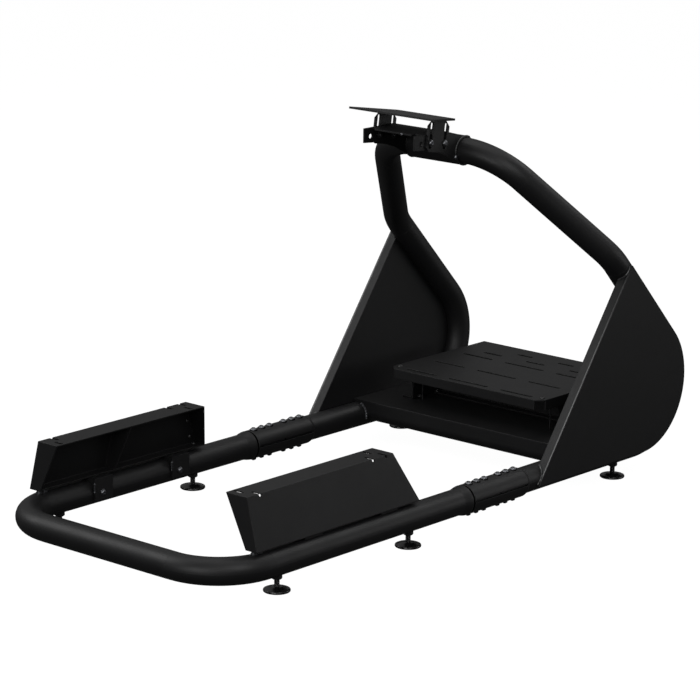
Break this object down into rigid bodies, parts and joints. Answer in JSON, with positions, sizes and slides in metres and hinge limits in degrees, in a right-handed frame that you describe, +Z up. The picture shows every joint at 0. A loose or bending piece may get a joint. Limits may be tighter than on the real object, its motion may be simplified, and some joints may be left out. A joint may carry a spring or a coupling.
{
  "type": "sim racing cockpit",
  "caption": "Open tubular steel seat-and-wheel frame with sheet side panels, slotted pedal deck, seat brackets and wheel mount.",
  "frame": {"origin": "middle of the footprint, on the floor under the levelling feet", "axes": "+X the driver's right, +Y from the seat end to the pedal end, +Z up"},
  "size_m": [0.6088, 1.3575, 0.7409],
  "materials": {
    "frame_powder_coat": "satin black powder coat",
    "panel_powder_coat": "fine matt black powder coat",
    "foot_steel": "black coated steel"
  },
  "bodies": {
    "frame": {"seat_loop": "frame_powder_coat", "left_joint_sleeve": "frame_powder_coat", "right_joint_sleeve": "frame_powder_coat", "left_side_tube": "frame_powder_coat", "right_side_tube": "frame_powder_coat", "wheel_hoop": "frame_powder_coat", "left_side_panel": "panel_powder_coat", "right_side_panel": "panel_powder_coat", "deck_base_plate": "panel_powder_coat", "pedal_deck": "panel_powder_coat", "left_deck_support": "panel_powder_coat", "right_deck_support": "panel_powder_coat", "left_seat_bracket": "panel_powder_coat", "right_seat_bracket": "panel_powder_coat", "left_front_seat_clamp": "frame_powder_coat", "left_rear_seat_clamp": "frame_powder_coat", "right_front_seat_clamp": "frame_powder_coat", "right_rear_seat_clamp": "frame_powder_coat", "left_mount_strap": "frame_powder_coat", "right_mount_strap": "frame_powder_coat", "wheel_mount_base": "panel_powder_coat", "left_front_foot_nut": "foot_steel", "left_middle_foot_nut": "foot_steel", "left_rear_foot_nut": "foot_steel", "right_front_foot_nut": "foot_steel", "right_middle_foot_nut": "foot_steel", "right_rear_foot_nut": "foot_steel"},
    "wheel_carriage": {"wheel_plate": "panel_powder_coat", "left_upright": "panel_powder_coat", "right_upright": "panel_powder_coat"},
    "left_front_foot_screw": {"left_front_foot": "foot_steel"},
    "left_middle_foot_screw": {"left_middle_foot": "foot_steel"},
    "left_rear_foot_screw": {"left_rear_foot": "foot_steel"},
    "right_front_foot_screw": {"right_front_foot": "foot_steel"},
    "right_middle_foot_screw": {"right_middle_foot": "foot_steel"},
    "right_rear_foot_screw": {"right_rear_foot": "foot_steel"}
  },
  "joints": [
    {"name": "wheel_plate_height", "type": "slide", "parent": "frame", "child": "wheel_carriage", "axis": [0, 0.1392, 0.9903], "range_m": [-0.012, 0.008]},
    {"name": "left_front_foot_height", "type": "slide", "parent": "frame", "child": "left_front_foot_screw", "axis": [0, 0, 1], "range_m": [-0.008, 0.006]},
    {"name": "left_middle_foot_height", "type": "slide", "parent": "frame", "child": "left_middle_foot_screw", "axis": [0, 0, 1], "range_m": [-0.008, 0.006]},
    {"name": "left_rear_foot_height", "type": "slide", "parent": "frame", "child": "left_rear_foot_screw", "axis": [0, 0, 1], "range_m": [-0.008, 0.006]},
    {"name": "right_front_foot_height", "type": "slide", "parent": "frame", "child": "right_front_foot_screw", "axis": [0, 0, 1], "range_m": [-0.008, 0.006]},
    {"name": "right_middle_foot_height", "type": "slide", "parent": "frame", "child": "right_middle_foot_screw", "axis": [0, 0, 1], "range_m": [-0.008, 0.006]},
    {"name": "right_rear_foot_height", "type": "slide", "parent": "frame", "child": "right_rear_foot_screw", "axis": [0, 0, 1], "range_m": [-0.008, 0.006]}
  ]
}
